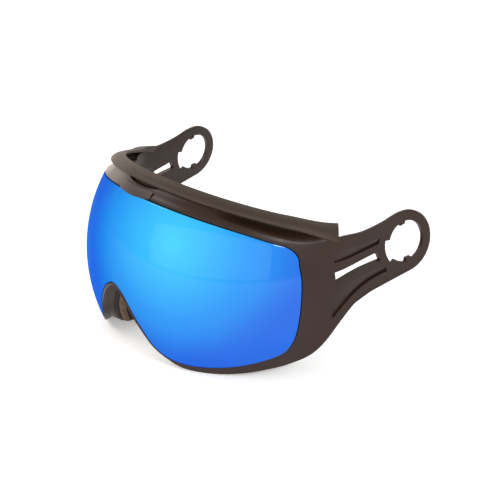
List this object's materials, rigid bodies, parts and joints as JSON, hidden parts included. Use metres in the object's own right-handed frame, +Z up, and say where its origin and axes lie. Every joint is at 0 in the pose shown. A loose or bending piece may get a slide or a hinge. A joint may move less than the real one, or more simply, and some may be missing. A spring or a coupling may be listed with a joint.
{
  "type": "ski goggles",
  "caption": "Helmet-mounted ski goggles with a mirrored ball lens, a rolled brow seal, layered face foam and side arms ending in keyed ear rings.",
  "frame": {"origin": "middle of the line between the centres of the two ear rings, on their outer faces", "axes": "+X to the wearer's left along the line between the ear rings, -Y forwards out of the lens, +Z up"},
  "size_m": [0.2154, 0.1542, 0.1104],
  "materials": {
    "frame_plastic": "satin",
    "seal_rubber": "matte",
    "hard_plastic": "matte",
    "base_foam": "open-cell foam",
    "soft_foam": "open-cell foam",
    "fleece": "brushed fleece",
    "vent_foam": "reticulated foam",
    "mirror_lens": "mirror coated",
    "clear_lens": "clear",
    "gasket_foam": "matte",
    "tab_plastic": "satin",
    "steel": "plated"
  },
  "bodies": {
    "frame": {"frame": "frame_plastic", "ear_ring_left": "frame_plastic", "ear_ring_right": "frame_plastic", "brow_seal": "seal_rubber", "seal_pins": "steel", "frame_magnets": "steel", "foam_carrier": "hard_plastic", "carrier_screws": "steel", "top_vent_foam": "vent_foam", "bottom_vent_foam": "vent_foam", "base_foam": "base_foam", "soft_foam": "soft_foam", "fleece_liner": "fleece"},
    "lens": {"outer_lens": "mirror_lens", "lens_gasket": "gasket_foam", "inner_lens": "clear_lens", "lens_rim": "hard_plastic", "lens_magnets": "steel", "locating_pins": "hard_plastic", "lens_tab": "tab_plastic"}
  },
  "joints": [
    {"name": "lens_pull", "type": "slide", "parent": "frame", "child": "lens", "axis": [0, -1, 0], "range_m": [0, 0.04]}
  ]
}
